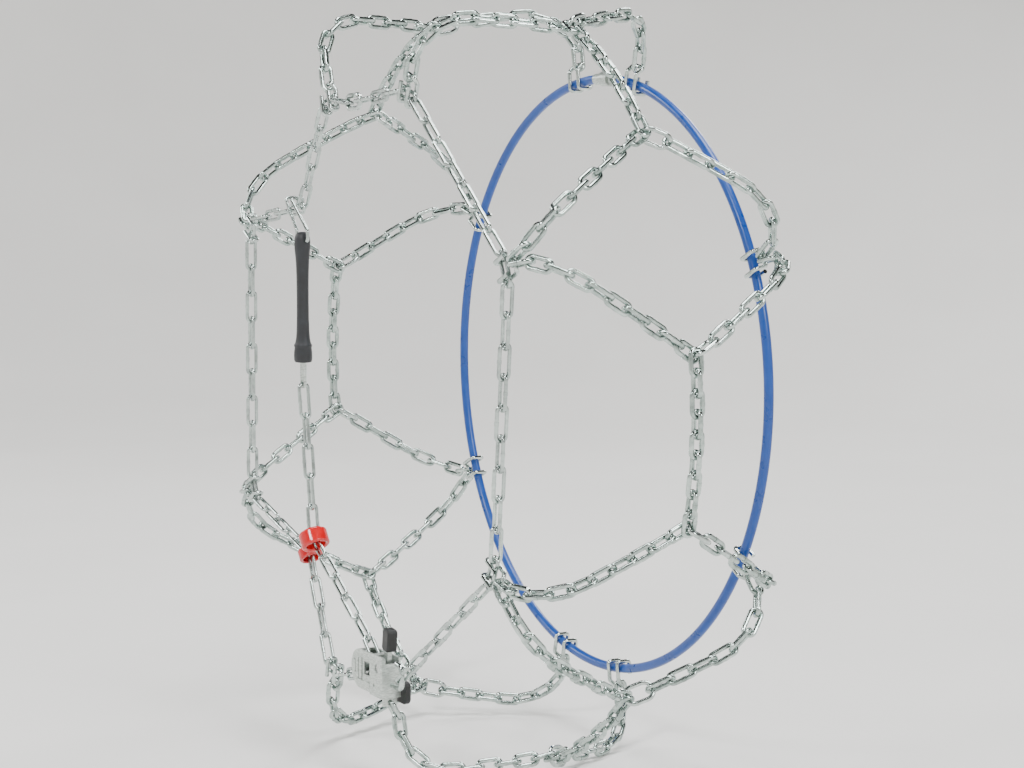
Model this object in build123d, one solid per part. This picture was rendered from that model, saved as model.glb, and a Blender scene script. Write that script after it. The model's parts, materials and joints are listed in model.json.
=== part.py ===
"""Six-diamond tyre chain with a self-locking front tensioner and a rear cable hoop.

Origin at the wheel centre, +Y along the axle towards the vehicle, +Z up, millimetres.
Angles go clockwise from the top as seen from the front.
"""
from build123d import *
import math
import os

os.makedirs("parts", exist_ok=True)

# driving sizes: a 205/55 R16 tyre and a 12 mm class diamond chain
tyre_radius = 316.0
tyre_half_width = 107.5
shoulder_radius = 34.0

tread_wire = 3.8
tread_width = 12.8      # outside width of a tread link
tread_pitch = 16.6
side_wire = 3.1
side_width = 11.4
side_pitch = 24.4
slack = 0.9             # play left in every link joint

hook_length = 27.0      # centre hook, outside
hook_inside = 11.2       # height that takes two links, one on the other
clip_wire = 3.6         # folded side clip
clip_bars = 14.8        # between the two bars
clip_reach = 16.0       # side chain to the bend that carries the legs
pair_offset = 2.85      # half the spacing of the two leg ends on one clip
pair_spread = 3.6       # how much further apart they are one link up

diamonds = [2.5, 65.6, 120.25, 182.5, 244.75, 300.25]
wide_half, second_half, normal_half = 22.0, 16.2, 15.25
rear_split = 10.5

# front side chain nodes: angle, radius, the diamonds' corners they carry
front_nodes = {
    1: (19.4, 255.0), 2: (66.0, 270.0), 3: (118.0, 257.0), 5: (193.8, 260.0),
    6: (244.3, 267.0), 7: (297.5, 269.0), 8: (344.5, 245.0),
}
rear_radius = 258.0
cable_core, cable_coat = 5.0, 8.0

tyre_gap = tread_width / 2 + 0.5
chain_radius = tyre_radius + tyre_gap
side_plane = tyre_half_width + tyre_gap
bend = shoulder_radius + tyre_gap
flat_half = side_plane - bend
bend_length = bend * math.pi / 2

# tensioner lock, its own x to the right and z up, seen from the front
lock_x, lock_z = 34.5, -233.0
lock_height, sheet = 33.0, 1.8
lock_left, lock_right = -14.0, 32.0   # centre of the round end, flat right end
roller_at, roller_radius, roller_pin_radius = (-14.0, 3.0), 6.0, 2.0
lever_at, lever_pin_radius, lever_plate = (22.5, lock_height / 2 - 9.5), 2.0, 4.0
running = 0.06
play = 0.3              # between pieces that move past each other

guide_side = (-113.0, -158.0)
guide_ring = (-89.0, -141.0)
strap_x, strap_low, strap_high = -110.0, 12.0, 126.0
strap_radius, head_radius, strap_thick = 6.4, 9.2, 11.0
strap_wire, plate_width, plate_thick = 3.0, 9.0, 2.2
kink = (-125.0, 146.0)
hook_shift = -27.0      # wire hook's top, to the side of the strap


def around(angle, radius, y):
    a = math.radians(angle)
    return Vector(radius * math.sin(a), y, radius * math.cos(a))


def section(s):
    """y, radius and the outward normal's share of y and radius at s along the section."""
    side, t = (1 if s >= 0 else -1), abs(s)
    if t <= flat_half:
        return side * t, chain_radius, 0.0, 1.0
    if t <= flat_half + bend_length:
        a = (t - flat_half) / bend
        return (side * (flat_half + bend * math.sin(a)), chain_radius - bend * (1 - math.cos(a)),
                side * math.sin(a), math.cos(a))
    return side * side_plane, chain_radius - bend - (t - flat_half - bend_length), side * 1.0, 0.0


def place(s, angle, lift=0.0):
    y, r, ny, nr = section(s)
    return around(angle, r + lift * nr, y + lift * ny)


def normal(s, angle):
    _, _, ny, nr = section(s)
    return around(angle, nr, ny)


def at_radius(radius):
    """Section position whose point has this radius on the side wall."""
    return flat_half + bend_length + chain_radius - bend - radius


def rod(p, q, d):
    p, q = Vector(*p), Vector(*q)
    return Plane(p, z_dir=q - p) * Cylinder(d / 2, (q - p).length,
                                            align=(Align.CENTER, Align.CENTER, Align.MIN))


def bent(points, d, radius):
    path = FilletPolyline(*points, radius=radius)
    return sweep(Plane(path @ 0, z_dir=path % 0) * Circle(d / 2), path=path)


def loop(inner_length, wire, width):
    """A closed wire loop along x, lying in the xy plane."""
    mean = width - wire
    path = SlotCenterToCenter(inner_length + wire - mean, mean).wire()
    return sweep(Plane(path @ 0, z_dir=path % 0) * Circle(wire / 2), path=path)


def welded(inner_length, wire, width):
    """A chain link: the loop with the swelling of its butt weld half way along one side."""
    weld = Pos(0, (width - wire) / 2) * Rot(0, 90, 0) * Cylinder(wire / 2 + 0.22, 2.8)
    return loop(inner_length, wire, width) + weld


def lay(shape, p, q, up):
    """Moves a shape from the origin to between p and q, its z towards up."""
    along = (q - p).normalized()
    up = (up - along * up.dot(along)).normalized()
    return Location(Plane((p + q) / 2, x_dir=along, z_dir=up)) * shape


def chain(points, ups, wire, width, flat_first=True):
    """Links between neighbouring points, every second one turned on its edge."""
    longest = max((b - a).length for a, b in zip(points, points[1:]))
    one = welded(longest + slack, wire, width)
    links = []
    for i, (a, b) in enumerate(zip(points, points[1:])):
        up = ups[i]
        if (i % 2 == 0) != flat_first:
            up = (b - a).cross(up)
        links.append(lay(one, a, b, up))
    return links


def spaced(path, pitch, parity, start_wire, end_wire):
    """Even steps along a sampled path of (point, normal), past each end by the wire it hooks."""
    pts = [p for p, _ in path]
    ups = [n for _, n in path]
    head = (pts[0] - pts[1]).normalized() * ((start_wire + slack) / 2)
    tail = (pts[-1] - pts[-2]).normalized() * ((end_wire + slack) / 2)
    pts = [pts[0] + head] + pts + [pts[-1] + tail]
    ups = [ups[0]] + ups + [ups[-1]]
    run = [0.0]
    for a, b in zip(pts, pts[1:]):
        run.append(run[-1] + (b - a).length)
    count = max(1, round(run[-1] / pitch))
    if count % 2 != parity:
        count += 1 if run[-1] / pitch > count else -1
    count = max(count, 2 - parity)

    def find(want):
        for i in range(len(run) - 1):
            if want <= run[i + 1] + 1e-9:
                f = (want - run[i]) / max(run[i + 1] - run[i], 1e-9)
                return pts[i] + (pts[i + 1] - pts[i]) * f, ups[i] + (ups[i + 1] - ups[i]) * f
        return pts[-1], ups[-1]

    step = run[-1] / count
    return ([find(step * i)[0] for i in range(count + 1)],
            [find(step * (i + 0.5))[1] for i in range(count)])


def write(name, *shapes):
    solids = [s for shape in shapes for s in shape.solids()]
    export_step(Compound(children=solids) if len(solids) > 1 else solids[0], f"parts/{name}.step")


# centre hooks, one at each end of every centre run

hook_half = (hook_inside + tread_wire) / 2
layer = (tread_wire + 0.7) / 2
inward = hook_half - math.sqrt(hook_half ** 2 - layer ** 2)   # the bend's wire at that height
slant = math.radians(30)
hook_start = 4.0     # near bend's place across the tread, from its middle


def hook_axes(angle, turn):
    """Near and far bend of a centre hook; turn is +1 where the diamond lies clockwise."""
    near = place(hook_start, angle)
    ahead = around(angle + 90, math.sin(slant) * turn, math.cos(slant))
    return near, near + ahead * (hook_length - tread_wire), around(angle, 1, 0)


def centre_hook(angle, turn):
    near, far, up = hook_axes(angle, turn)
    body = loop(hook_length - 2 * tread_wire, tread_wire, hook_inside + 2 * tread_wire)
    return lay(body, near, far, (far - near).cross(up))


def leg(start, s_start, angle_start, s_end, angle_end, start_lift, spread=0.0):
    """Sampled way of a tread leg over the shoulder, its last link nearly straight down the side."""
    path, steps = [], 60
    for i in range(steps + 1):
        f = i / steps
        s = s_start + (s_end - s_start) * f
        share = abs(s - s_start) / (abs(s_end - s_start) - tread_pitch)
        a = angle_start + (angle_end + spread - angle_start) * min(1.0, share)
        if share > 1.0:
            a -= spread * (share - 1.0) / (1.0 / (1.0 - tread_pitch / abs(s_end - s_start)) - 1.0)
        fade = max(0.0, 1 - abs(s - s_start) / tread_pitch)
        path.append((place(s, a, start_lift * fade), normal(s, a)))
    path[0] = (start, path[0][1])
    return path


def tread_leg(path, end_wire=clip_wire):
    points, ups = spaced(path, tread_pitch, 0, tread_wire, end_wire)
    return chain(points, ups, tread_wire, tread_width)


halves = [wide_half, second_half, normal_half, wide_half, normal_half, normal_half]
corners = [(d - h, d + h) for d, h in zip(diamonds, halves)]
front_ends = {0: (8, 1), 1: (2, 2), 2: (3, 3), 3: (4, 5), 4: (6, 6), 5: (7, 7)}

hooks = []
leg_hook_tip = Vector(lock_x + 30, -side_plane, lock_z - 35)

for i, (low, high) in enumerate(corners):
    fronts, rears = [], []
    for angle, turn, node in ((low, 1, front_ends[i][0]), (high, -1, front_ends[i][1])):
        near, far, up = hook_axes(angle, turn)
        hooks.append(centre_hook(angle, turn))
        # front leg, the lower of the two links on the near bend
        start = near + up * -layer + (far - near).normalized() * inward
        if node == 4:
            tip_radius = math.hypot(leg_hook_tip.X, leg_hook_tip.Z)
            tip_angle = math.degrees(math.atan2(leg_hook_tip.X, leg_hook_tip.Z))
            way = leg(start, hook_start, angle, -at_radius(tip_radius), tip_angle, -layer)
        else:
            node_angle, node_radius = front_nodes[node]
            node_angle -= 360 * round((node_angle - angle) / 360)
            crown = node_radius + clip_reach
            part = 0.0 if node in (1, 5, 8) else math.degrees(1 / crown) * -turn
            way = leg(start, hook_start, angle, -at_radius(crown), node_angle + part * pair_offset,
                      -layer, part * pair_spread)
        fronts += tread_leg(way)
        # rear leg from the far bend
        far_angle = math.degrees(math.atan2(far.X, far.Z)) % 360
        crown = rear_radius + clip_reach
        part = 0.0 if i in (0, 3) else math.degrees(1 / crown) * -turn
        goal = angle + turn * (halves[i] - rear_split if i in (0, 3) else halves[i]) + part * pair_offset
        if far_angle - goal > 180:
            far_angle -= 360
        if far_angle - goal < -180:
            far_angle += 360
        rears += tread_leg(leg(far, far.Y, far_angle, at_radius(crown), goal, 0.0, part * pair_spread))
    write(f"front_legs_{i + 1}", *fronts)
    write(f"rear_legs_{i + 1}", *rears)

write("centre_hooks", *hooks)

# centre runs, along the middle of the tread between neighbouring diamonds

for i in range(6):
    a, b = corners[i][1], corners[(i + 1) % 6][0] + (360 if i == 5 else 0)
    path = [(place(hook_start, a + (b - a) * k / 40, layer), around(a + (b - a) * k / 40, 1, 0))
            for k in range(41)]
    for k, angle, turn in ((0, a, -1), (-1, b, 1)):
        near, far, up = hook_axes(angle, turn)
        path[k] = (near + up * layer + (far - near).normalized() * inward, path[k][1])
    points, ups = spaced(path, tread_pitch, 1, tread_wire, tread_wire)
    write(f"centre_run_{i + 1}", *chain(points, ups, tread_wire, tread_width))


# folded wire clips: a bend that carries the legs, two bars that wrap what lies on the side

def side_clip(wrap_height, wrap_width, straight):
    """x along the side chain, y to the tread, z away from the tyre; wraps y from -width to +."""
    h = (wrap_height + clip_wire) / 2 + 0.15
    low = -(wrap_width / 2 + clip_wire / 2 + 0.35)
    end = wrap_width / 2 + straight
    bar = clip_bars / 2
    half = [(-bar, end, h), (-bar, low, h), (-bar, low, -h), (-bar, clip_reach - 5.5, -h),
            (-bar, clip_reach, 0)]
    points = half + [(-x, y, z) for x, y, z in reversed(half)]
    return bent(points, clip_wire, min(h, clip_wire * 0.7) - 0.05)


def seat(shape, angle, radius, side):
    p = around(angle, radius, side * side_plane)
    out = around(angle, 1, 0)
    away = Vector(0, side, 0)
    return Location(Plane(p, x_dir=out.cross(away), z_dir=away)) * shape


front_clip = side_clip(side_wire, side_width, 3.0)
rear_clip = side_clip(cable_coat, cable_coat, 1.0)
write("front_clips", *[seat(front_clip, a, r, -1) for a, r in front_nodes.values()])
rear_angles = []
for i, d in enumerate(diamonds):
    rear_angles += [d - rear_split, d + rear_split] if i in (0, 3) else [d]
write("rear_clips", *[seat(rear_clip, a, rear_radius, 1) for a in rear_angles])

# rear cable hoop, its plastic coat and the coupling that opens it

core_gap, coat_gap, coupling_at = 2.4, 4.2, diamonds[0]


def hoop(profile, gap):
    """The profile carried round the rear hoop, open by gap degrees either side of the coupling."""
    way = CenterArc((0, 0), rear_radius, 90 - coupling_at + gap, 360 - 2 * gap)
    way = Plane((0, side_plane, 0), x_dir=(1, 0, 0), z_dir=(0, -1, 0)) * way
    return sweep(Plane(way @ 0, z_dir=way % 0) * profile, path=way)


core = hoop(Circle(cable_core / 2), core_gap)
coat = hoop(Circle(cable_coat / 2) - Circle(cable_core / 2 + 0.02), coat_gap)
write("cable_core", core)
write("cable_coat", coat)

ferrule_radius, ball_radius, neck_radius = cable_coat / 2 + 0.8, 3.6, 2.0
middle = around(coupling_at, rear_radius, side_plane)
tangent = around(coupling_at + 90, 1, 0)


def on_hoop(shift):
    """A point on the hoop, shift millimetres clockwise of the coupling's middle."""
    return around(coupling_at + math.degrees(shift / rear_radius), rear_radius, side_plane)


coat_end = math.radians(coat_gap) * rear_radius
core_end = math.radians(core_gap) * rear_radius
ball_at, socket_radius = middle + tangent * 1.0, 6.4
ball_end = rod(on_hoop(core_end - 2.6), on_hoop(coat_end - 0.2), 2 * ferrule_radius) - core
ball_end += rod(ball_at, on_hoop(core_end - 2.0), 2 * neck_radius)
ball_end += Location(ball_at) * Sphere(ball_radius)
write("cable_ball_end", ball_end - core)
socket = rod(on_hoop(-coat_end + 0.2), on_hoop(-core_end + 2.6), 2 * ferrule_radius) - core
socket_low, socket_high = ball_at - tangent * 8.0, ball_at + tangent * 4.6
socket += rod(socket_low, socket_high, 2 * socket_radius)
socket -= rod(ball_at - tangent * 0.2, ball_at + tangent * 9, 2 * (neck_radius + play))
socket -= Location(ball_at) * Sphere(ball_radius + 0.15)
out = around(coupling_at, 1, 0)
socket -= rod(ball_at, ball_at + out * 9, 2 * (ball_radius + 0.15))
socket -= lay(Box(9, 2 * (neck_radius + play), 9), ball_at + out * 4.5 + tangent * 0,
              ball_at + out * 4.5 + tangent * 9, out)
write("cable_socket", socket - core)

# front side chain, clockwise from the closing hook

front = Vector(0, -1, 0)


reach = (side_wire + slack) / 2   # from a joint to the middle of either link's bend


def node(number):
    """Both corners of the flat link that the clip of this node wraps."""
    angle, radius = front_nodes[number]
    half = around(angle + 90, side_pitch / 2 - reach, 0)
    middle = around(angle, radius, -side_plane)
    return middle - half, middle + half


def even(a, b, count):
    return [a + (b - a) * (k / count) for k in range(count + 1)]


def links_for(length, parity):
    count = max(1, round(length / side_pitch))
    return count if count % 2 == parity else count + (1 if length / side_pitch > count else -1)


def side(points, flat_first=True):
    return chain(points, [front] * (len(points) - 1), side_wire, side_width, flat_first)


def stretch(a, b, count, flat_first=False, loose_end=False):
    """Straight links between two corners, which are where the standing links' bends lie."""
    along = (b - a).normalized() * reach
    flat_last = (count % 2 == 1) == flat_first
    start = a - along if flat_first else a + along
    end = b if loose_end else (b + along if flat_last else b - along)
    return side(even(start, end, count), flat_first)


def node_link(corners):
    along = (corners[1] - corners[0]).normalized() * reach
    return side([corners[0] - along, corners[1] + along])


def between(a, b, parity=1, loose_end=False):
    """Links from corner a to corner b, the first one standing."""
    return stretch(a, b, max(2 - parity, links_for((b - a).length, parity)), loose_end=loose_end)


def lock_point(x, z, y=None):
    return Vector(lock_x + x, lock_mid if y is None else y, lock_z + z)


lock_inside = side_width + 2 * play
lock_mid = -(side_plane - 1.0 + sheet + lock_inside / 2)
closing_wire = 4.2
j_wire = 4.4
hook_left, hook_right = Vector(-29, -side_plane, 236), Vector(-4, -side_plane, 237)


def past(point, towards, wire):
    """The joint just inside a hook's wire at point, for a chain that leaves towards."""
    return point - (towards - point).normalized() * ((wire + slack) / 2)


n1, n2, n3, n5, n6, n7, n8 = (node(k) for k in (1, 2, 3, 5, 6, 7, 8))
write("side_chain_1", *between(n1[0], past(hook_right, n1[0], closing_wire), loose_end=True), *node_link(n1))
write("side_chain_2", *between(n1[1], n2[0]), *node_link(n2))
write("side_chain_3", *between(n2[1], n3[0]), *node_link(n3))
j_point = lock_point(50, 3)
write("side_chain_4", *between(n3[1], past(j_point, n3[1], j_wire), loose_end=True))
turn_in, under, above, turn_out = (lock_point(x, z) for x, z in
                                   ((-37, -9.5), (-8.6, 8.5 - lock_height / 2),
                                    (5.6, lock_height / 2 - 9.7), (-15.6, 25.7)))
write("side_chain_5", *between(n5[0], turn_in, 0), *node_link(n5))
corner = Vector(guide_side[0], -side_plane, guide_side[1])
write("side_chain_6", *between(n5[1], corner, 0), *between(corner, n6[0]), *node_link(n6))
write("side_chain_7", *between(n6[1], n7[0]), *node_link(n7))
peak = Vector(kink[0], -side_plane, kink[1])
write("side_chain_8", *between(n7[1], peak, 0), *between(peak, n8[0]), *node_link(n8),
      *stretch(n8[1], past(hook_left, n8[1], closing_wire), 1, loose_end=True))
closing = lay(loop((hook_right - hook_left).length - closing_wire, closing_wire, 15.0),
              hook_left, hook_right, front)
closing -= Location((hook_left + hook_right) / 2 + Vector(2.5, 0, 6)) * Box(4.6, 10, 8)
write("closing_hook", closing)

# tension chain: through the lock, up to the ring guide, on to the strap

ring = Vector(guide_ring[0], lock_mid, guide_ring[1])
up_links = links_for((ring - turn_out).length, 1)
write("tension_chain_lower", *stretch(turn_in, under, 1), *stretch(under, above, 1, flat_first=True),
      *stretch(above, turn_out, 1), *stretch(turn_out, ring, up_links, flat_first=True))
plate_hole = Vector(strap_x, lock_mid, strap_low - 18.0)
last = plate_hole + Vector(0, 0, -2.8)
write("tension_chain_upper", *between(ring, last, loose_end=True))

# lock housing


def lock_outline(inset):
    r = lock_height / 2 - inset
    wide = lock_right - inset - lock_left
    return Pos(lock_left, 0) * Circle(r) + Pos(lock_left + wide / 2, 0) * Rectangle(wide, 2 * r)


def layer_of(sketch, y_low, y_high):
    """A sketch in lock x and z, filled between two depths."""
    flat = Plane((lock_x, y_high, lock_z), x_dir=(1, 0, 0), z_dir=(0, -1, 0))
    return flat * extrude(sketch, y_high - y_low)


def cut(x0, x1, z0, z1):
    return Pos((x0 + x1) / 2, (z0 + z1) / 2) * Rectangle(x1 - x0, z1 - z0)


back_in, front_in = lock_mid + lock_inside / 2, lock_mid - lock_inside / 2
back_out, front_out = back_in + sheet, front_in - sheet
walls = lock_outline(0) - lock_outline(sheet)
top = lock_height / 2 - 4.5
walls -= cut(-40, lock_left - 6, -13.5, -5.5) + cut(-13, 7, top, top + 8) + cut(15, lock_right + 1, top, top + 8)
housing = layer_of(walls, front_in, back_in) + layer_of(lock_outline(0), back_in, back_out)
tab_at = (27.0, -21.0)
tab = Location(lock_point(tab_at[0], -lock_height / 2 - 3.6)) * Box(3, lock_inside, 8)
tab += Location(lock_point(tab_at[0], -lock_height / 2 - 0.2)) * Box(5.6, lock_inside, 1.8)
tab -= rod(lock_point(tab_at[0] - 9, tab_at[1]), lock_point(tab_at[0] + 9, tab_at[1]), 5.0)
housing += tab
j_head = 3.2
housing -= rod(lock_point(28, -6), lock_point(40, -6), j_wire)
for x, z, r in ((*roller_at, roller_pin_radius), (*lever_at, lever_pin_radius)):
    housing -= rod(lock_point(x, z, back_out + 1), lock_point(x, z, back_in - 1), 2 * r)
rivets_at, rivet_radius = ((14.0, 6.0 - lock_height / 2), (24.0, 4.5 - lock_height / 2)), 1.6
for x, z in rivets_at:
    housing -= rod(lock_point(x, z, back_out + 1), lock_point(x, z, back_in - 1), 2 * rivet_radius)
write("lock_housing", housing)

window = cut(-5, 5.5, -3, 8)
cover = layer_of(lock_outline(0) - window - Pos(17, -8) * Circle(1.6), front_out, front_in)
for x, z, r in ((*roller_at, roller_pin_radius), (*lever_at, lever_pin_radius)):
    cover -= rod(lock_point(x, z, front_in + 1), lock_point(x, z, front_out - 1), 2 * r)
block = layer_of(cut(9, lock_right, -lock_height / 2 - 0.5, lock_height / 2 + 1.5) - Pos(17, -8) * Circle(1.6)
                 - Pos(*lever_at) * Circle(3.6 + 0.1), front_out - 2.2, front_out)
cover += fillet(block.edges().group_by(Axis.Y)[0], 1.0)
for x in (-23.5, -17.5, -11.5):
    rib = layer_of(Pos(x, 1) * Rot(0, 0, 90) * SlotOverall(18 if x > -20 else 12, 4.4),
                   front_out - 1.3, front_out)
    cover += fillet(rib.edges().group_by(Axis.Y)[0], 0.8)
cover += layer_of(Pos(-6, -10.5) * SlotOverall(26, 4.0), front_out - 1.2, front_out)
write("lock_cover", cover)

pin = rod(lock_point(*roller_at, front_out), lock_point(*roller_at, back_out), 2 * roller_pin_radius)
pin += rod(lock_point(*roller_at, back_out), lock_point(*roller_at, back_out + 1.0), 7.0)
write("roller_pin", pin)
gap_y = play
roller = rod(lock_point(*roller_at, front_in + gap_y), lock_point(*roller_at, back_in - gap_y),
             2 * roller_radius)
roller -= rod(lock_point(*roller_at, front_out), lock_point(*roller_at, back_out),
              2 * (roller_pin_radius + running))
waist = Plane(lock_point(*roller_at), z_dir=(0, 1, 0)) * Torus(roller_radius + 1.4, 2.6)
write("guide_roller", roller - waist)

pin = rod(lock_point(*lever_at, front_out - 1.0), lock_point(*lever_at, back_out), 2 * lever_pin_radius)
pin += rod(lock_point(*lever_at, front_out - 1.0), lock_point(*lever_at, front_out), 7.0)
pin += rod(lock_point(*lever_at, back_out), lock_point(*lever_at, back_out + 1.0), 6.6)
write("lever_pin", pin)

lx, lz = lever_at
arm = Polyline((lx - 3, lz), (lx + 2.2, lz + 30), (lx + 8.0, lz + 30), (lx + 3.4, lz), close=True)
lever = make_face(arm) + Pos(lx, lz) * Circle(4.5)
nose = Polyline((lx, lz - 2.5), (lx - 7.0, lz - 2.6), (lx - 7.0, lz - 0.2), (lx, lz + 2.5), close=True)
lever = lever + make_face(nose) - Pos(lx, lz) * Circle(lever_pin_radius + running)
write("release_lever", layer_of(lever, lock_mid - lever_plate / 2, lock_mid + lever_plate / 2))
tip = layer_of(Pos(lx + 5.2, lz + 24) * Rot(0, 0, -8) * RectangleRounded(11.5, 19, 3.4),
               lock_mid - 4.6, lock_mid + 4.6)
tip = fillet(tip.edges().group_by(Axis.Y)[0] + tip.edges().group_by(Axis.Y)[-1], 1.6)
write("lever_tip", tip - layer_of(lever, lock_mid - lever_plate / 2, lock_mid + lever_plate / 2))

coil_height = (lock_inside - lever_plate) / 2 - 1.4
coil = Helix(pitch=coil_height / 2, height=coil_height, radius=3.3)
coil = Plane(lock_point(*lever_at, lock_mid + lever_plate / 2 + 0.9), z_dir=(0, 1, 0)) * coil
write("lever_spring", sweep(Plane(coil @ 0, z_dir=coil % 0) * Circle(0.45), path=coil))

pad = layer_of(Pos(24, 4.5 - lock_height / 2) * RectangleRounded(36, 19, 5), back_out, back_out + 5.0)
pad = fillet(pad.edges().group_by(Axis.Y)[-1], 2.0)
for x, z in rivets_at:
    pad -= rod(lock_point(x, z, back_out - 1), lock_point(x, z, back_out + 6), 2 * rivet_radius)
    pad -= rod(lock_point(x, z, back_out + 3.6), lock_point(x, z, back_out + 6), 7.0)
write("lock_pad", pad)
write("pad_rivets", *[
    rod(lock_point(x, z, back_in), lock_point(x, z, back_out + 3.6), 2 * rivet_radius)
    + rod(lock_point(x, z, back_in - 1.0), lock_point(x, z, back_in), 4.6)
    + rod(lock_point(x, z, back_out + 3.6), lock_point(x, z, back_out + 4.8), 6.0)
    for x, z in rivets_at])

j_hook = bent([lock_point(27, -6), lock_point(50, -6), lock_point(50, 12), lock_point(41, 13.5)],
              j_wire, 5.0)
j_hook += rod(lock_point(25.4, -6), lock_point(27.6, -6), 2 * j_head)
write("j_hook", j_hook)
eye = lock_point(*tab_at) + Vector(0, 0, 0.4)
write("leg_hook", lay(loop((leg_hook_tip - eye).length - clip_wire, clip_wire, 13.0), eye, leg_hook_tip,
                      front))

# ring guide: one loop on the side chain, one for the tension chain

span = ring - corner
axis = (Vector(-0.66, 0, 0.75) - span.normalized() * span.normalized().dot(Vector(-0.66, 0, 0.75)))
frame = Plane(corner, x_dir=span, z_dir=axis)


def ring_of(inside, wall, height, round_by):
    """A ring about z with rounded edges."""
    return revolve(Plane.XZ * Pos(inside + wall / 2, 0) * RectangleRounded(wall, height, round_by), Axis.Z)


neck = extrude(Pos(span.length / 2, 0) * Rectangle(span.length - 8, 9), 4.2, both=True)
neck = fillet(neck.edges().filter_by(Axis.X), 2.0)
bore, wide_bore = side_width / 2 + 1.7, side_width / 2 + 2.7
neck -= extrude(Circle(bore + 0.5), 9, both=True)
neck -= extrude(Pos(span.length, 0) * Circle(wide_bore + 0.5), 9, both=True)
guide = ring_of(bore, 3.2, 10.0, 1.4) + Pos(span.length, 0) * ring_of(wide_bore, 4.2, 14.0, 1.9) + neck
write("ring_guide", frame * guide)

# strap end plate, rubber strap and the wire hook over the side chain


def upright(x, y, z, dx, dy, dz):
    return Location((x, y, z)) * Box(dx, dy, dz)


plate_top = strap_low + 9.0
plate_low = plate_hole.Z - 4.5
plate = upright(strap_x, lock_mid, (plate_low + plate_top) / 2, plate_width, plate_thick,
                plate_top - plate_low)
plate = fillet(plate.edges().filter_by(Axis.Y), 3.0)
plate -= rod(plate_hole + front * 5, plate_hole - front * 5, 6.0)
plate += upright(strap_x, lock_mid, plate_top - 1.5, plate_width + 4.5, plate_thick, 3.0)
write("end_plate", plate)

outline = Polyline((0, strap_low), (head_radius * 0.75, strap_low), (head_radius, strap_low + 5),
                   (head_radius, strap_low + 9), (strap_radius, strap_low + 22),
                   (strap_radius, strap_high - 20), (head_radius * 0.9, strap_high - 9),
                   (head_radius * 0.9, strap_high - 4), (head_radius * 0.5, strap_high),
                   (0, strap_high), close=True)
body = revolve(Plane.XZ * make_face(outline), Axis.Z)
body = Location((strap_x, lock_mid, 0)) * body
body &= upright(strap_x, lock_mid, (strap_low + strap_high) / 2, 40, strap_thick, 200)
body -= upright(strap_x, lock_mid, (strap_low - 5 + plate_top) / 2 + play / 2, plate_width + 2 * play,
                plate_thick + 2 * play, plate_top - strap_low + 5 + play)
body -= upright(strap_x, lock_mid, plate_top - 1.5, plate_width + 4.5 + 2 * play,
                plate_thick + 2 * play, 3 + 2 * play)
cross = strap_high - 8.0
prong = 11.8
body -= rod((strap_x - 20, lock_mid, cross), (strap_x + 20, lock_mid, cross), strap_wire + 2 * play)
write("rubber_strap", body)

over = kink[1] + side_width / 2 + strap_wire / 2 + 1.6
behind = -side_plane + side_wire / 2 + strap_wire / 2 + 0.6
before = -side_plane - side_width / 2 - strap_wire / 2 - 1.2


def prong_line(side, grip):
    """One prong, from its tip behind the side chain down to the strap's cross hole."""
    top_x, low_x = strap_x + hook_shift + side * grip, strap_x + side * prong
    return [(top_x, behind, over - 8.5), (top_x, behind, over), (top_x, before, over),
            (low_x, lock_mid, cross + 9), (low_x, lock_mid, cross)]


write("strap_hook", bent(prong_line(-1, 5.5) + prong_line(1, 5.5)[::-1], strap_wire, 3.2))
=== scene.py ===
import json
import math
import bpy
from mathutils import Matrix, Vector


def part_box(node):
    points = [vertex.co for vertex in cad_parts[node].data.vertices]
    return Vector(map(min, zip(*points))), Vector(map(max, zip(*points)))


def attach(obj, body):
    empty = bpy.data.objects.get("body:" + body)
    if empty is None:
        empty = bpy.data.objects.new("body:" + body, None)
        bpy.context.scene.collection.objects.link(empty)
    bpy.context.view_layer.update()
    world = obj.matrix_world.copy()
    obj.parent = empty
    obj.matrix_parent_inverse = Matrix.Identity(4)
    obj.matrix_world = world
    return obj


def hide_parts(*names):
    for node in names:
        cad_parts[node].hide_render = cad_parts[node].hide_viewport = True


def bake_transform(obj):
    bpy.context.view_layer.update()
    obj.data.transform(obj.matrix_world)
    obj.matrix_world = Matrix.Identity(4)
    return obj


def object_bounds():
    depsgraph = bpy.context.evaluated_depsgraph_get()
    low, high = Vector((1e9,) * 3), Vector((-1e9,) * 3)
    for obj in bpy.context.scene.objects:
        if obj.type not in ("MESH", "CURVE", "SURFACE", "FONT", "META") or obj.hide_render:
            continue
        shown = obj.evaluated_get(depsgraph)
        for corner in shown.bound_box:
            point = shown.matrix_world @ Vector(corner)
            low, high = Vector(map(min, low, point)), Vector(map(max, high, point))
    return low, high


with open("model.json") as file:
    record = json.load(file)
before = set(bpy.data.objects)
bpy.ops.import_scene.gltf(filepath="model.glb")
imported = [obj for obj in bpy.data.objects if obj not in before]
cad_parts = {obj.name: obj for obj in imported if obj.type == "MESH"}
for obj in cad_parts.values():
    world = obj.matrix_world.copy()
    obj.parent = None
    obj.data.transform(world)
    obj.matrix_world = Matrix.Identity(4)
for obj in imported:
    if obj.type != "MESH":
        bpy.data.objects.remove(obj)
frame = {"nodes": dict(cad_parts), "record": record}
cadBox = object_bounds()
bpy.ops.object.select_all(action="DESELECT")
print("loaded", len(frame["nodes"]), "nodes")


# ---- colours and shader nodes

def linear(hexColour):  # sRGB hex to linear, as the shader sockets want it
    parts = [int(hexColour[i:i + 2], 16) / 255 for i in (1, 3, 5)]
    return tuple(c / 12.92 if c <= 0.04045 else ((c + 0.055) / 1.055) ** 2.4 for c in parts) + (1.0,)


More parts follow.
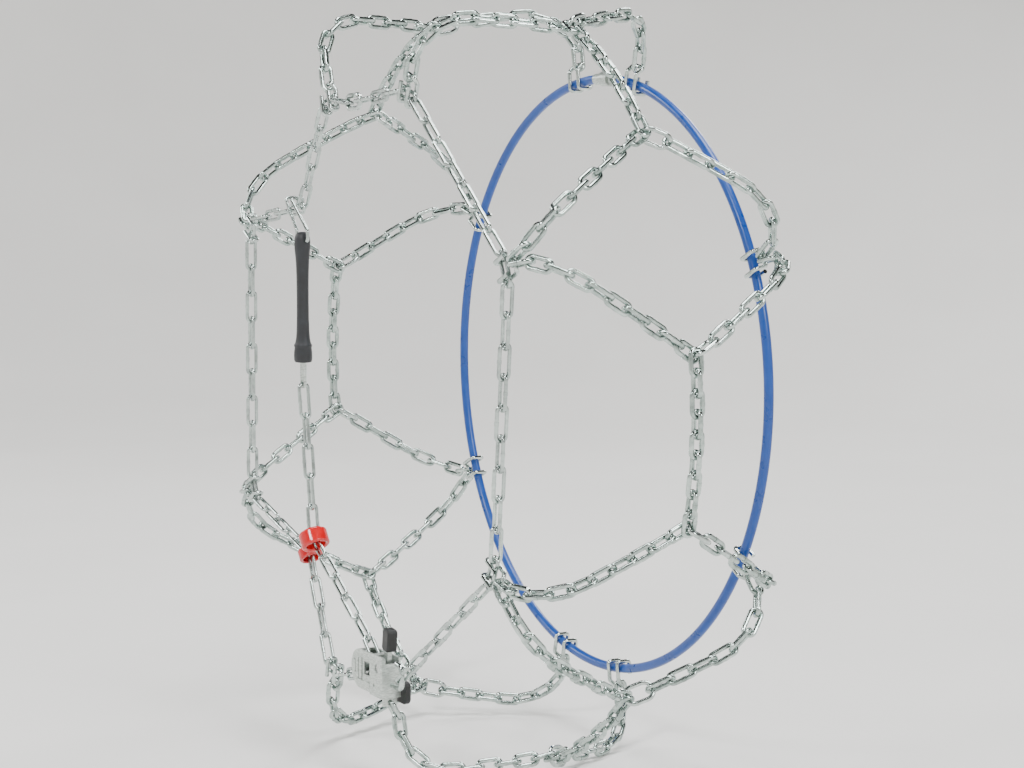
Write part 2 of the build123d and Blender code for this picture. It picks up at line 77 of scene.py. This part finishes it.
def addNode(tree, kind, settings=None, inputs=None, links=None):
    node = tree.nodes.new(kind)
    for name, value in (settings or {}).items():
        setattr(node, name, value)
    for name, value in (inputs or {}).items():
        node.inputs[name].default_value = value
    for name, socket in (links or {}).items():
        tree.links.new(socket, node.inputs[name])
    return node


def newMaterial(name, **shaderValues):
    material = bpy.data.materials.new(name)
    material.use_nodes = True
    tree = material.node_tree
    shader = tree.nodes["Principled BSDF"]
    for socket, value in shaderValues.items():
        shader.inputs[socket.replace("_", " ")].default_value = value
    place = addNode(tree, "ShaderNodeTexCoord").outputs["Object"]
    return material, tree, shader, place


def ramp(tree, factor, stops):
    node = addNode(tree, "ShaderNodeValToRGB", links={"Fac": factor})
    elements = node.color_ramp.elements
    while len(elements) < len(stops):
        elements.new(0.5)
    for element, (position, colour) in zip(elements, stops):
        element.position, element.color = position, linear(colour)
    return node.outputs["Color"]


def perMetre(millimetres):  # noise scale whose blotches are about this size
    return 1000.0 / millimetres


def noise(tree, vector, sizeMm, detail=2.0, roughness=0.5):
    node = addNode(tree, "ShaderNodeTexNoise", links={"Vector": vector},
                   inputs={"Scale": perMetre(sizeMm), "Detail": detail, "Roughness": roughness})
    return node.outputs["Fac"]


def roughFrom(tree, shader, value, atLow, atHigh, highest=0.7):
    node = addNode(tree, "ShaderNodeMapRange", links={"Value": value},
                   inputs={"From Min": 0.3, "From Max": highest, "To Min": atLow, "To Max": atHigh})
    tree.links.new(node.outputs[0], shader.inputs["Roughness"])


def bumpFrom(tree, shader, height, strength, distanceMm=0.3):
    node = addNode(tree, "ShaderNodeBump", links={"Height": height},
                   inputs={"Strength": strength, "Distance": distanceMm / 1000})
    tree.links.new(node.outputs["Normal"], shader.inputs["Normal"])


def colourFrom(tree, shader, factor, stops):
    tree.links.new(ramp(tree, factor, stops), shader.inputs["Base Color"])


zinc = {"light": "#CBD6D2", "middle": "#A5B2AD", "dull": "#7F8D88", "cloudMm": 12.0,
        "spangleMm": 2.4, "spangleShare": 0.18, "rough": (0.16, 0.3), "drawMm": 0.5, "bump": 0.06}


def makeZinc(name, values):
    # bright zinc plated steel wire, electroplated and passivated: cool faintly green grey,
    # sharp glints broken by duller clouds and fine marks from the drawing die
    material, tree, shader, place = newMaterial(name, Metallic=1.0)
    clouds = noise(tree, place, values["cloudMm"], 3.0, 0.55)
    spangle = addNode(tree, "ShaderNodeTexVoronoi", inputs={"Scale": perMetre(values["spangleMm"])},
                      links={"Vector": place}).outputs["Distance"]
    mixed = addNode(tree, "ShaderNodeMath", {"operation": "MULTIPLY_ADD"}, {1: values["spangleShare"]},
                    {0: spangle, 2: clouds}).outputs[0]
    colourFrom(tree, shader, mixed, [(0.32, values["dull"]), (0.52, values["middle"]),
                                     (0.78, values["light"])])
    roughFrom(tree, shader, mixed, values["rough"][1], values["rough"][0])
    bumpFrom(tree, shader, noise(tree, place, values["drawMm"]), values["bump"], 0.2)
    return material


def makePressedSheet():
    # pressed steel sheet with bright zinc: flatter and whiter than the wire, light rubbing
    # along the press direction, small pits where the plating thins
    material, tree, shader, place = newMaterial("galvanisedPressedSheet", Metallic=0.92)
    stretched = addNode(tree, "ShaderNodeMapping", inputs={"Scale": (1.0, 1.0, 7.0)},
                        links={"Vector": place}).outputs[0]
    rub = noise(tree, stretched, 4.0, 5.0, 0.6)
    colourFrom(tree, shader, rub, [(0.3, "#98A09B"), (0.5, "#C2C9C4"), (0.72, "#DDE2DD")])
    roughFrom(tree, shader, rub, 0.52, 0.34)
    bumpFrom(tree, shader, noise(tree, place, 1.1, 3.0), 0.25)
    return material


def makePlastic(name, light, deep, rough, bumpStrength, grainMm, coat=0.0):
    # injection moulded plastic: even pigment, a faint flow mottle, gloss set by the mould's polish
    material, tree, shader, place = newMaterial(name, IOR=1.5, Coat_Weight=coat, Coat_Roughness=0.08)
    flow = noise(tree, place, 14.0)
    colourFrom(tree, shader, flow, [(0.3, deep), (0.7, light)])
    roughFrom(tree, shader, flow, *rough)
    bumpFrom(tree, shader, noise(tree, place, grainMm), bumpStrength)
    return material


def makeRubber():
    # moulded black natural rubber: soft broad sheen, dusty bloom in blotches, fine tooling grain
    material, tree, shader, place = newMaterial("mouldedNaturalRubber", IOR=1.52)
    bloom = noise(tree, place, 11.0, 5.0, 0.6)
    colourFrom(tree, shader, bloom, [(0.35, "#15171A"), (0.6, "#222529"), (0.8, "#34383C")])
    roughFrom(tree, shader, bloom, 0.42, 0.66, highest=0.75)
    bumpFrom(tree, shader, noise(tree, place, 0.7, 3.0), 0.3)
    return material


def makeStrand():
    # bare stranded steel cable between the ferrules: twisted wires as slanted bands, with painted shade
    # in the grooves between the wires
    material, tree, shader, place = newMaterial("strandedSteelCable", Metallic=1.0, Roughness=0.36)
    turned = addNode(tree, "ShaderNodeMapping", inputs={"Rotation": (0, math.radians(35), 0)},
                     links={"Vector": place}).outputs[0]
    bands = addNode(tree, "ShaderNodeTexWave", {"bands_direction": "X"},
                    {"Scale": perMetre(24.0), "Distortion": 0.6}, {"Vector": turned}).outputs["Fac"]
    # painted shade: the band colour is darkest where the bump puts the grooves between the wires
    colourFrom(tree, shader, bands, [(0.2, "#4C5153"), (0.7, "#A9AFB1")])
    bumpFrom(tree, shader, bands, 0.6, 0.4)
    return material


treadZinc = makeZinc("zincPlatedTreadChain", zinc)
sideZinc = makeZinc("zincPlatedSideChain",
                    {**zinc, "middle": "#ABB4B1", "dull": "#868F8B", "cloudMm": 16.0})
wireZinc = makeZinc("zincPlatedHookWire",
                    {**zinc, "light": "#D3DBD8", "middle": "#B0BAB6", "rough": (0.15, 0.28)})
pressedSheet = makePressedSheet()
rivetSteel = makeZinc("turnedRivetSteel",
                      {**zinc, "light": "#C9CBC9", "middle": "#A8ABA9", "dull": "#858987"})
cableSteel = makeStrand()
blueCoat = makePlastic("extrudedBluePolyamide", "#17489A", "#133F8A", (0.26, 0.34), 0.08, 1.2)
redPlastic = makePlastic("glossyRedPolyamide", "#D8121B", "#B40A12", (0.16, 0.26), 0.1, 2.4,
                         coat=0.35)
blackPlastic = makePlastic("blackGlassFilledNylon", "#1C1E1F", "#111213", (0.38, 0.55), 0.3, 0.6)
rubber = makeRubber()

finishes = {"zinc_chain": treadZinc, "zinc_wire": wireZinc, "zinc_sheet": pressedSheet,
            "rivet_steel": rivetSteel, "cable_steel": cableSteel, "blue_plastic": blueCoat,
            "red_plastic": redPlastic, "black_plastic": blackPlastic, "black_rubber": rubber}
slotOf = {part["node"]: part["material_slot"] for part in frame["record"]["subparts"]}
for nodeName, node in frame["nodes"].items():
    finish = finishes[slotOf[nodeName]]
    if nodeName.startswith(("side_chain", "tension_chain")):
        finish = sideZinc
    for slot in node.material_slots:
        slot.material = finish
print("materials done")


# ---- helpers for the new pieces

def startEdit(piece):
    bpy.ops.object.select_all(action="DESELECT")
    bpy.context.view_layer.objects.active = piece
    piece.select_set(True)
    bpy.ops.object.mode_set(mode="EDIT")
    bpy.ops.mesh.select_mode(type="FACE")


def finishPiece(piece, material, smoothDegrees=40):
    if bpy.context.mode != "OBJECT":
        bpy.ops.object.mode_set(mode="OBJECT")
    bpy.ops.object.select_all(action="DESELECT")
    bpy.context.view_layer.objects.active = piece
    piece.select_set(True)
    bpy.ops.object.transform_apply(location=True, rotation=True, scale=True)
    piece.data.materials.clear()
    piece.data.materials.append(material)
    bpy.ops.object.shade_smooth_by_angle(angle=math.radians(smoothDegrees))
    return piece


def applyModifier(piece, kind, **settings):
    bpy.ops.object.select_all(action="DESELECT")
    bpy.context.view_layer.objects.active = piece
    piece.select_set(True)
    modifier = piece.modifiers.new(kind.title(), kind)
    for name, value in settings.items():
        setattr(modifier, name, value)
    bpy.ops.object.modifier_apply(modifier=modifier.name)


# ---- moulded rubber strap

strap = {"sides": 28, "flat": 0.86,
         # height above the low end and radius, millimetres: recess, lip, bulb, collar, waist, bulb, crown
         "stations": [(0.6, 6.6), (0.0, 7.6), (0.8, 8.6), (3, 9.2), (10, 9.2), (13.4, 8.2), (13.9, 9.1),
                      (15.9, 9.1), (16.6, 7.7), (24, 6.3), (50, 5.9), (80, 6.1), (92, 6.9), (99, 7.9),
                      (106, 8.2), (110, 7.5), (113, 5.4), (114, 2.6)], "recess": (7.0, 6.2),
         # pocket in the face of the lower head: half width, its stations, depth
         "pocketHalf": 4.4, "pocketHeights": (3.0, 10.0), "pocketDepth": 1.7, "pocketRim": 0.5,
         # length at each end of the strap, millimetres
         "stiffEnd": 25}


def makeStrap():
    low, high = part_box("rubber_strap")
    middle = (low + high) / 2
    depth, inner = strap["recess"]
    bpy.ops.mesh.primitive_circle_add(vertices=strap["sides"], radius=inner / 1000, fill_type="NGON",
                                      location=(middle.x, middle.y, low.z + depth / 1000))
    piece = bpy.context.object
    piece.name = "strapBody"
    startEdit(piece)
    bpy.ops.mesh.select_all(action="SELECT")
    lastHeight, lastRadius = depth, inner
    for height, radius in strap["stations"]:
        climb = (height - lastHeight) / 1000
        bpy.ops.mesh.extrude_region_move(TRANSFORM_OT_translate={"value": (0, 0, climb)})
        at = (middle.x, middle.y, low.z + height / 1000)
        bpy.ops.transform.resize(value=(radius / lastRadius, radius / lastRadius, 1), center_override=at)
        lastHeight, lastRadius = height, radius
    bpy.ops.mesh.select_all(action="SELECT")
    bpy.ops.transform.resize(value=(1, strap["flat"], 1), center_override=tuple(middle))
    bpy.ops.mesh.normals_make_consistent(inside=False)
    bpy.ops.mesh.select_all(action="DESELECT")
    bpy.ops.object.mode_set(mode="OBJECT")
    lowest, highest = (low.z + height / 1000 for height in strap["pocketHeights"])
    for face in piece.data.polygons:
        at, outward = face.center, face.normal
        face.select = (abs(at.x - middle.x) < strap["pocketHalf"] / 1000 and outward.y < -0.5
                       and lowest < at.z < highest)
    startEdit(piece)
    bpy.ops.mesh.inset(thickness=strap["pocketRim"] / 1000, depth=0)
    bpy.ops.transform.translate(value=(0, strap["pocketDepth"] / 1000, 0))
    bpy.ops.object.mode_set(mode="OBJECT")
    applyModifier(piece, "SUBSURF", levels=1, render_levels=1)
    finishPiece(piece, rubber, 60)
    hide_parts("rubber_strap")
    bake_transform(piece)


makeStrap()
print("strap done")


# ---- blue coat of the rear hoop

coat = {"around": 360, "sides": 24,
        # the coupling's place clockwise from the top and half the opening there, degrees
        "coupling": 2.5, "opening": 4.2}


def makeCoat():
    low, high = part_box("cable_coat")
    minor = (high.y - low.y) / 2
    bpy.ops.mesh.primitive_torus_add(major_radius=(high.x - low.x) / 2 - minor, minor_radius=minor,
                                     major_segments=coat["around"], minor_segments=coat["sides"],
                                     location=(0, low.y + minor, 0), rotation=(math.radians(90), 0, 0))
    piece = bpy.context.object
    piece.name = "hoopCoat"
    bpy.ops.object.transform_apply(location=True, rotation=True, scale=True)
    for face in piece.data.polygons:
        turn = math.degrees(math.atan2(face.center.x, face.center.z))
        face.select = abs(turn - coat["coupling"]) < coat["opening"]
    startEdit(piece)
    bpy.ops.mesh.delete(type="FACE")
    bpy.ops.mesh.select_all(action="SELECT")
    bpy.ops.mesh.fill_holes(sides=0)
    finishPiece(piece, blueCoat, 40)
    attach(piece, "net")
    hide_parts("cable_coat")


makeCoat()
print("coat done")


# ---- studio: floor, light and camera

studio = {"azimuth": 61.98, "elevation": 5.68, "distance": 2.0, "lens": 82.06, "shiftX": 0.0265,
          "shiftY": -0.0033, "floor": "#ECEBE8", "world": "#23282B", "worldStrength": 0.5,
          "sweepRadius": 4.2, "flatShare": 0.55, "sweepRise": 1.9,
          "curveSteps": 12, "paperMm": 333.3,
          # name, place, size and power
          "lights": [("keyLight", (0.9, -2.6, 2.3), 0.7, 70), ("sideLight", (2.9, 0.6, 1.7), 0.8, 60),
                     ("fillLight", (-2.6, -1.8, 1.6), 0.9, 40), ("backLight", (-1.6, 2.6, 2.0), 1.0, 60),
                     ("topLight", (0.2, 0.2, 3.1), 1.6, 120)]}


def makeStudio():
    # floor and wall in one seamless sweep of matt paper
    paper, tree, shader, place = newMaterial("mattPaperSweep", Roughness=0.95)
    grain = noise(tree, place, studio["paperMm"])
    colourFrom(tree, shader, grain, [(0.3, "#E8E7E4"), (0.7, studio["floor"])])
    floorHeight = cadBox[0].z - 0.0005
    flatRadius = studio["sweepRadius"] * studio["flatShare"]
    curveRadius = studio["sweepRadius"] - flatRadius
    bpy.ops.mesh.primitive_circle_add(vertices=96, radius=flatRadius, fill_type="NGON",
                                      location=(0, 0, floorHeight))
    sweep = bpy.context.object
    sweep.name = "floorSweep"
    startEdit(sweep)
    bpy.ops.mesh.select_all(action="SELECT")
    reach, rise = flatRadius, 0.0
    for step in range(1, studio["curveSteps"] + 1):
        angle = math.pi / 2 * step / studio["curveSteps"]
        nextReach = flatRadius + curveRadius * math.sin(angle)
        nextRise = curveRadius * (1 - math.cos(angle))
        bpy.ops.mesh.extrude_region_move(TRANSFORM_OT_translate={"value": (0, 0, nextRise - rise)})
        bpy.ops.transform.resize(value=(nextReach / reach, nextReach / reach, 1),
                                 center_override=(0, 0, floorHeight + nextRise))
        reach, rise = nextReach, nextRise
    wall = studio["sweepRise"] - rise
    bpy.ops.mesh.extrude_region_move(TRANSFORM_OT_translate={"value": (0, 0, wall)})
    bpy.ops.mesh.delete(type="ONLY_FACE")
    bpy.ops.mesh.select_all(action="SELECT")
    bpy.ops.object.mode_set(mode="OBJECT")
    bpy.ops.object.shade_smooth()
    sweep.data.materials.append(paper)
    world = bpy.data.worlds.new("studioWorld")
    bpy.context.scene.world = world
    world.use_nodes = True
    background = world.node_tree.nodes["Background"]
    background.inputs["Color"].default_value = linear(studio["world"])
    background.inputs["Strength"].default_value = studio["worldStrength"]
    for name, spot, size, power in studio["lights"]:
        bpy.ops.object.light_add(type="AREA", location=spot)
        light = bpy.context.object
        light.name = name
        light.data.size, light.data.energy = size, power
        light.rotation_euler = (-Vector(spot)).to_track_quat("-Z", "Y").to_euler()
    turn, rise = math.radians(studio["azimuth"]), math.radians(studio["elevation"])
    back = Vector((math.sin(turn) * math.cos(rise), -math.cos(turn) * math.cos(rise), math.sin(rise)))
    bpy.ops.object.camera_add(location=back * studio["distance"])
    camera = bpy.context.object
    camera.rotation_euler = (-back).to_track_quat("-Z", "Y").to_euler()
    camera.data.lens = studio["lens"]
    camera.data.shift_x, camera.data.shift_y = studio["shiftX"], studio["shiftY"]
    bpy.context.scene.camera = camera


makeStudio()
print("studio done")
